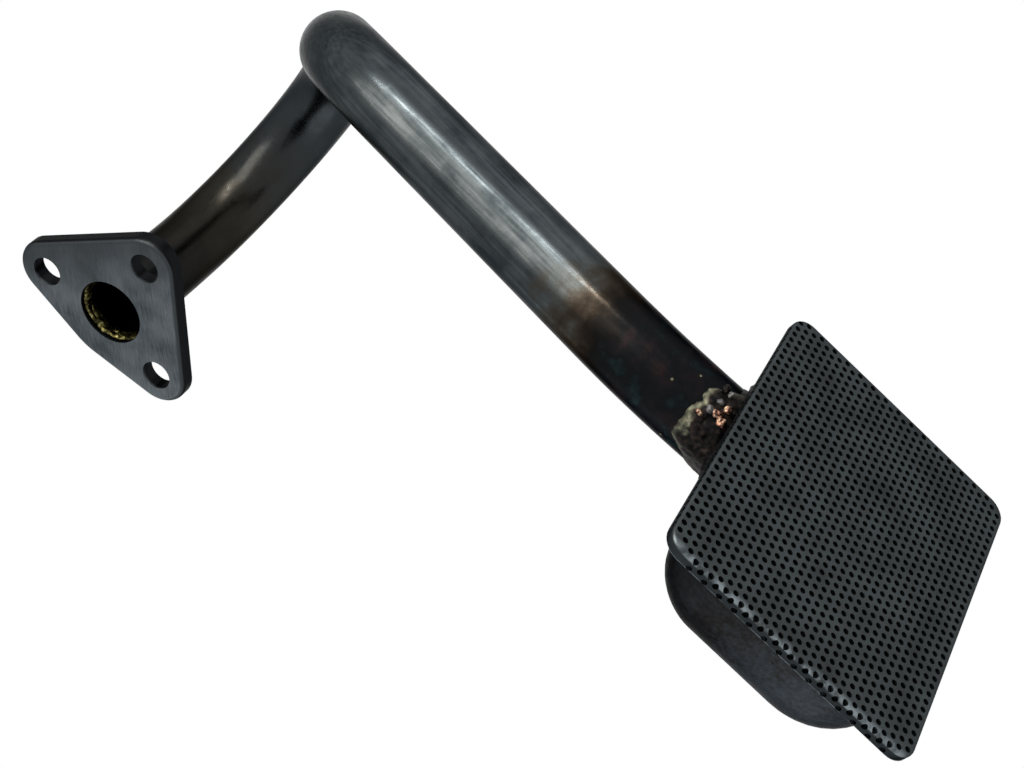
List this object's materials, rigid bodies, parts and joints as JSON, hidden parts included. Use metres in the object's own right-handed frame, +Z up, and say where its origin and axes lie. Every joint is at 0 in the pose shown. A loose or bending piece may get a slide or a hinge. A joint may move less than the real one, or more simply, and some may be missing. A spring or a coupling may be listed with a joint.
{
  "type": "oil pickup screen",
  "caption": "Bent steel suction tube with a bolt-on mounting flange at one end and a drawn strainer housing closed by a perforated screen at the other",
  "frame": {"origin": "centre of the oil port, on the flange's mating face", "axes": "+X points out of the mating face, towards the engine; +Z is up, away from the screen, so the screen faces down; +Y completes the right-handed frame and runs along the line of the upper bolt holes"},
  "size_m": [0.2019, 0.2779, 0.2161],
  "materials": {
    "flange_steel": "ground flat on the mating face, edges rounded by blanking",
    "tube_steel": "drawn and bent, darkened and tinted by the heat of brazing near both ends",
    "housing_steel": "deep drawn, dark brown-black from brazing heat",
    "screen_steel": "perforated sheet with a satin face",
    "braze_metal": "as-flowed braze, lumpy and dull"
  },
  "bodies": {
    "root": {"mounting_flange": "flange_steel", "suction_tube": "tube_steel", "strainer_housing": "housing_steel", "perforated_screen": "screen_steel", "flange_braze": "braze_metal", "housing_braze": "braze_metal"}
  },
  "joints": []
}
